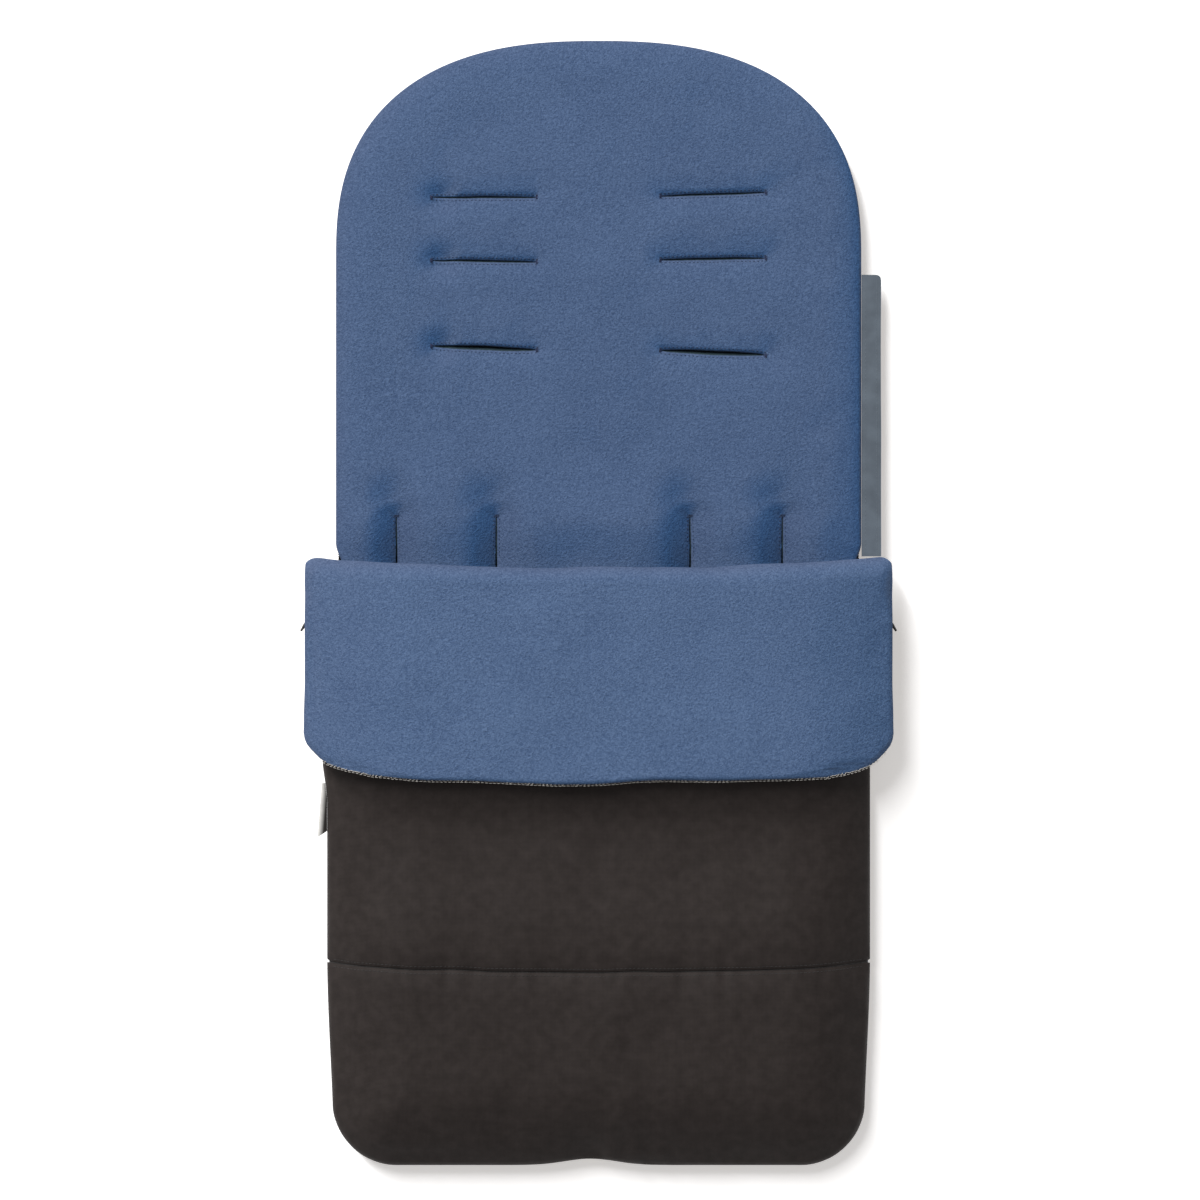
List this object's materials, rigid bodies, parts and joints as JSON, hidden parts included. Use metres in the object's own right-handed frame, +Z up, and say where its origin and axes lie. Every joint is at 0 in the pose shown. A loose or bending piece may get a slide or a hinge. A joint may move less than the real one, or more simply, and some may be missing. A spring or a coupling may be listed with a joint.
{
  "type": "stroller footmuff",
  "caption": "Padded stroller footmuff with harness slots, a fleece-lined zipped leg cover and a cover top that folds down as a wide cuff.",
  "frame": {"origin": "centre of the back pad's flat underside", "axes": "+Z up out of the pad as it lies on its back, +Y to the head end, +X to the right as seen from above"},
  "size_m": [0.5072, 0.9525, 0.0708],
  "materials": {
    "fleece": "brushed knitted polyester fleece, short pile, dusty blue",
    "wadding": "bonded polyester wadding",
    "shell_cloth": "water-repellent woven polyester, black",
    "slot_binding": "woven binding, navy",
    "zip_tape": "woven zip tape with nylon coil, black",
    "draught_flap": "woven polyester, grey",
    "satin_tape": "satin ribbon, pale grey",
    "overlock_thread": "spun polyester thread, pale grey",
    "seam_thread": "spun polyester thread, black",
    "zip_metal": "nickel plate",
    "slider_metal": "black enamelled zinc casting",
    "pull_rubber": "moulded soft plastic, black"
  },
  "bodies": {
    "pad_and_cover": {"back_shell": "shell_cloth", "back_wadding": "wadding", "back_fleece": "fleece", "shoulder_slot_upper_left": "slot_binding", "shoulder_slot_upper_right": "slot_binding", "shoulder_slot_middle_left": "slot_binding", "shoulder_slot_middle_right": "slot_binding", "shoulder_slot_lower_left": "slot_binding", "shoulder_slot_lower_right": "slot_binding", "waist_slot_outer_left": "slot_binding", "waist_slot_outer_right": "slot_binding", "waist_slot_inner_left": "slot_binding", "waist_slot_inner_right": "slot_binding", "crotch_slot": "slot_binding", "cover_lining": "fleece", "cover_wadding": "wadding", "cover_shell_upper": "shell_cloth", "cover_shell_lower": "shell_cloth", "cover_seam_thread": "seam_thread", "cover_fold_roll": "fleece", "zip_bottom_box": "zip_metal", "side_tab": "satin_tape", "pad_zip_half_left": "zip_tape", "cover_zip_half_left": "zip_tape", "zip_flap_left": "draught_flap", "zip_top_stop_left": "zip_metal", "pad_zip_half_right": "zip_tape", "cover_zip_half_right": "zip_tape", "zip_flap_right": "draught_flap", "zip_top_stop_right": "zip_metal"},
    "cuff": {"cuff_fleece": "fleece", "cuff_wadding": "wadding", "cuff_shell": "shell_cloth", "cuff_edge_overlock": "overlock_thread", "cuff_zip_half_left": "zip_tape", "cuff_zip_half_right": "zip_tape"},
    "slider_left": {"slider_left": "slider_metal"},
    "pull_left": {"pull_tab_left": "slider_metal", "pull_grip_left": "pull_rubber"},
    "slider_right": {"slider_right": "slider_metal"},
    "pull_right": {"pull_tab_right": "slider_metal", "pull_grip_right": "pull_rubber"}
  },
  "joints": [
    {"name": "cuff_fold", "type": "hinge", "parent": "pad_and_cover", "child": "cuff", "pos_m": [0, 0.0118, 0.056], "axis": [-1, 0, 0], "range_deg": [0, 180], "deforming": ["cover_fold_roll"]},
    {"name": "slider_left_travel", "type": "slide", "parent": "pad_and_cover", "child": "slider_left", "axis": [0, 1, 0], "range_m": [-0.3, 0.25]},
    {"name": "pull_left_swing", "type": "hinge", "parent": "slider_left", "child": "pull_left", "pos_m": [-0.2243, 0.0165, 0.012], "axis": [0, 0, -1], "range_deg": [-28, 142]},
    {"name": "slider_right_travel", "type": "slide", "parent": "pad_and_cover", "child": "slider_right", "axis": [0, 1, 0], "range_m": [-0.3, 0.25]},
    {"name": "pull_right_swing", "type": "hinge", "parent": "slider_right", "child": "pull_right", "pos_m": [0.2243, 0.0165, 0.012], "axis": [0, 0, 1], "range_deg": [-28, 142]}
  ]
}
